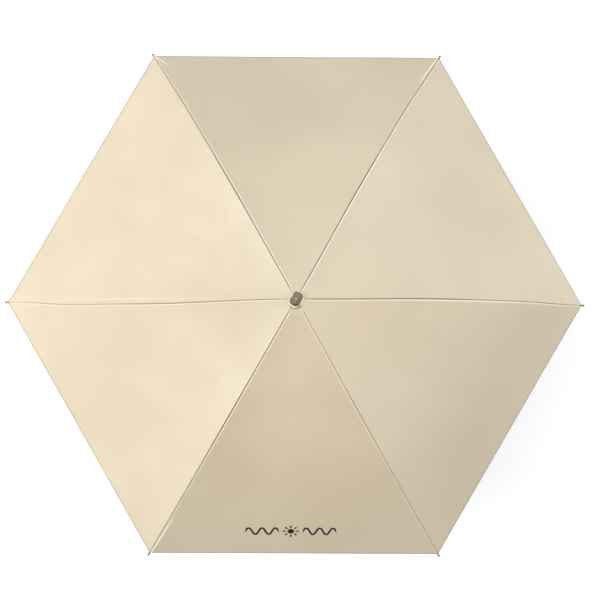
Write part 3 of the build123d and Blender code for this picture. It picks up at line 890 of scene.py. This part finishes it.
# ties: link, distance from the shaft, slope in degrees, radii of the thread's turns
TIES = (("middle_rib", KNEE_U + 62 * MM, 20.0, (2.3 * MM, 2.9 * MM)),
        ("outer_rib", ELBOW_U + 80 * MM, 36.0, (1.6 * MM, 2.9 * MM)))
KNOT_RIB = 5                        # its seam starts with a knot, just outside the rosette
KNOT_U = 12.7 * MM
KNOT_UP = 0.35 * MM
KNOT_LENGTH = 1.0 * MM
tip_thread = thread_material("thread_tan", (0.50, 0.42, 0.30, 1), (0.66, 0.57, 0.42, 1))
tie_thread = thread_material("thread_dark", grey(0.05, 0.05), grey(0.11, 0.05))


def thread_coil(name, body, start, axes, radii, turns, rise, thickness, material):
    """Thread wound round the first of three axes while it rises along it."""
    path, first, second = axes
    curve = bpy.data.curves.new(name, "CURVE")
    curve.dimensions = "3D"
    curve.bevel_depth = thickness / 2
    curve.bevel_resolution = 2
    curve.resolution_u = 2
    steps = turns * COIL_STEPS
    spline = curve.splines.new("POLY")
    spline.points.add(steps)
    for step in range(steps + 1):
        angle = 2 * math.pi * step / COIL_STEPS
        turn = radii[0] * math.cos(angle) * first + radii[1] * math.sin(angle) * second
        spline.points[step].co = (*(start + path * (rise * step / steps) + turn), 1)
    raw = bpy.data.objects.new(name + "_line", curve)
    mesh = bpy.data.meshes.new_from_object(raw)
    bpy.data.objects.remove(raw)
    mesh.polygons.foreach_set("use_smooth", [True] * len(mesh.polygons))
    mesh.materials.clear()
    mesh.materials.append(material)
    piece = bpy.data.objects.new(name, mesh)
    bpy.context.scene.collection.objects.link(piece)
    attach(piece, body)


def rib_axes(rib, slope):
    """Along the rib, across it and up from it, in the row frame."""
    a = STEP * (rib - 1)
    s = math.radians(slope)
    out = Vector((math.cos(a), math.sin(a), 0))
    along = out * math.cos(s) - Vector((0, 0, math.sin(s)))
    across = Vector((-math.sin(a), math.cos(a), 0))
    return along, across, along.cross(across)


def on_rib(rib, u, z):
    a = STEP * (rib - 1)
    return Vector((u * math.cos(a), u * math.sin(a), z))


def sew_tip(rib):
    """Thread that sews the cloth's corner to the rib tip."""
    axes = rib_axes(rib, TIP_SLOPE)
    start = on_rib(rib, TIP_U, TIP_Z) - axes[0] * TIP_THREAD_IN
    thread_coil(f"tip_thread_{rib}", f"outer_rib_{rib}", start, axes, (1.75 * MM, 1.9 * MM), turns=4,
                rise=1.7 * MM, thickness=0.36 * MM, material=tip_thread)


def tie_cloth(rib, link, u, slope, radii):
    """Thread that holds the cloth's seam to a link."""
    axes = rib_axes(rib, slope)
    start = on_rib(rib, u, CROWN_Z + float(profile(np.array(u)))) - axes[2] * (radii[1] + TIE_GAP)
    thread_coil(f"cloth_tie_{link}_{rib}", f"{link}_{rib}", start, axes, radii, turns=3,
                rise=1.2 * MM, thickness=0.34 * MM, material=tie_thread)


def seam_knot():
    along, across, up = rib_axes(KNOT_RIB, 0)
    surface = CROWN_Z + float(cloth_top(KNOT_RIB, 1, np.array(KNOT_U), np.array(0.0)))
    start = on_rib(KNOT_RIB, KNOT_U, surface + KNOT_UP) - across * KNOT_LENGTH / 2
    axes = (across, along, up)
    thread_coil("seam_knot", f"top_rib_{KNOT_RIB}", start, axes, (0.55 * MM, 0.35 * MM), turns=3,
                rise=KNOT_LENGTH, thickness=0.6 * MM, material=tie_thread)


for rib in RIBS:
    sew_tip(rib)
    for tie in TIES:
        tie_cloth(rib, *tie)
seam_knot()


# ---- floor, light and camera -------------------------------------------------------------------------
IMAGE_UP = math.radians(30)         # azimuth of the picture's upward direction
CAMERA_DISTANCE = 2.6
CAMERA_LENS = 102.4
CAMERA_LEAN_RIGHT = math.radians(-0.58)
CAMERA_LEAN_UP = math.radians(-2.24)
CAMERA_ROLL = math.radians(-0.3)
CAMERA_SENSOR = 36
CAMERA_SIGHT = 50
CAMERA_AIM = (7.3 * MM, 6.1 * MM)   # right of and above the shaft's axis, at the tips' height

up_flat = Vector((math.cos(IMAGE_UP), math.sin(IMAGE_UP), 0))
right_flat = Vector((math.sin(IMAGE_UP), -math.cos(IMAGE_UP), 0))


def aim_camera():
    data = bpy.data.cameras.new("camera")
    data.lens = CAMERA_LENS
    data.sensor_width = CAMERA_SENSOR
    data.clip_end = CAMERA_SIGHT
    camera = bpy.data.objects.new("camera", data)
    bpy.context.scene.collection.objects.link(camera)
    back = (Vector((0, 0, 1)) + right_flat * CAMERA_LEAN_RIGHT + up_flat * CAMERA_LEAN_UP).normalized()
    target = Vector((0, 0, TIP_Z)) + right_flat * CAMERA_AIM[0] + up_flat * CAMERA_AIM[1]
    up = (up_flat - back * up_flat.dot(back)).normalized()
    right = up.cross(back)
    up, right = (up * math.cos(CAMERA_ROLL) + right * math.sin(CAMERA_ROLL),
                 right * math.cos(CAMERA_ROLL) - up * math.sin(CAMERA_ROLL))
    camera.matrix_world = matrix_of(right, up, back, target + back * CAMERA_DISTANCE)
    bpy.context.scene.camera = camera


def matrix_of(x, y, z, place):
    """Placement with these three axes."""
    return Matrix((*zip(x, y, z, place), (0, 0, 0, 1)))


SKY = 0.745
FLOOR_HALF = 20.0
FLOOR_GLOW = 0.07                   # faint, so that the soft shadow round the canopy fades out
# soft boxes: direction as right and up in the picture and height, then distance, side, power and colour
LIGHTS = {
    "key_left": ((-1.0, 0.05, 0.75), 2.6, 1.8, 62.0, (1.0, 0.985, 0.96)),
    "fill_right": ((1.0, 0.15, 0.45), 2.6, 1.6, 35.0, (0.97, 0.985, 1.0)),
    "overhead": ((0.0, 0.05, 1.0), 3.2, 2.6, 21.5, (1.0, 1.0, 1.0)),
}


def soft_light(name):
    """Square soft box that shines at the canopy's middle."""
    (right, up, high), distance, size, power, color = LIGHTS[name]
    data = bpy.data.lights.new(name, "AREA")
    data.shape = "SQUARE"
    data.size = size
    data.energy = power
    data.color = color
    light = bpy.data.objects.new(name, data)
    toward = (right_flat * right + up_flat * up + Vector((0, 0, high))).normalized()
    light.location = Vector((0, 0, ELBOW_Z)) + toward * distance
    light.rotation_mode = "QUATERNION"
    light.rotation_quaternion = (-toward).to_track_quat("-Z", "Y")
    bpy.context.scene.collection.objects.link(light)


def floor():
    corners = [(x * FLOOR_HALF, y * FLOOR_HALF, 0) for x, y in ((-1, -1), (1, -1), (1, 1), (-1, 1))]
    piece = add_mesh("floor", corners, [(0, 1, 2, 3)])
    n = Nodes("floor_pale")
    color = n.mix(n.smooth(n.noise(n.place(), 2.0, 3.0), 0.3, 0.7), grey(0.905), grey(0.925))
    piece.data.materials.append(n.finish(Base_Color=color, Roughness=0.9, Specular_IOR_Level=0.1,
                                          Emission_Color=(1, 1, 1, 1), Emission_Strength=FLOOR_GLOW))


def lights():
    world = bpy.data.worlds.new("studio")
    world.use_nodes = True
    background = world.node_tree.nodes["Background"]
    background.inputs["Color"].default_value = (1.0, 0.997, 0.99, 1)
    background.inputs["Strength"].default_value = SKY
    bpy.context.scene.world = world
    for name in LIGHTS:
        soft_light(name)


floor()
lights()
aim_camera()
bpy.context.scene.view_settings.view_transform = "Standard"
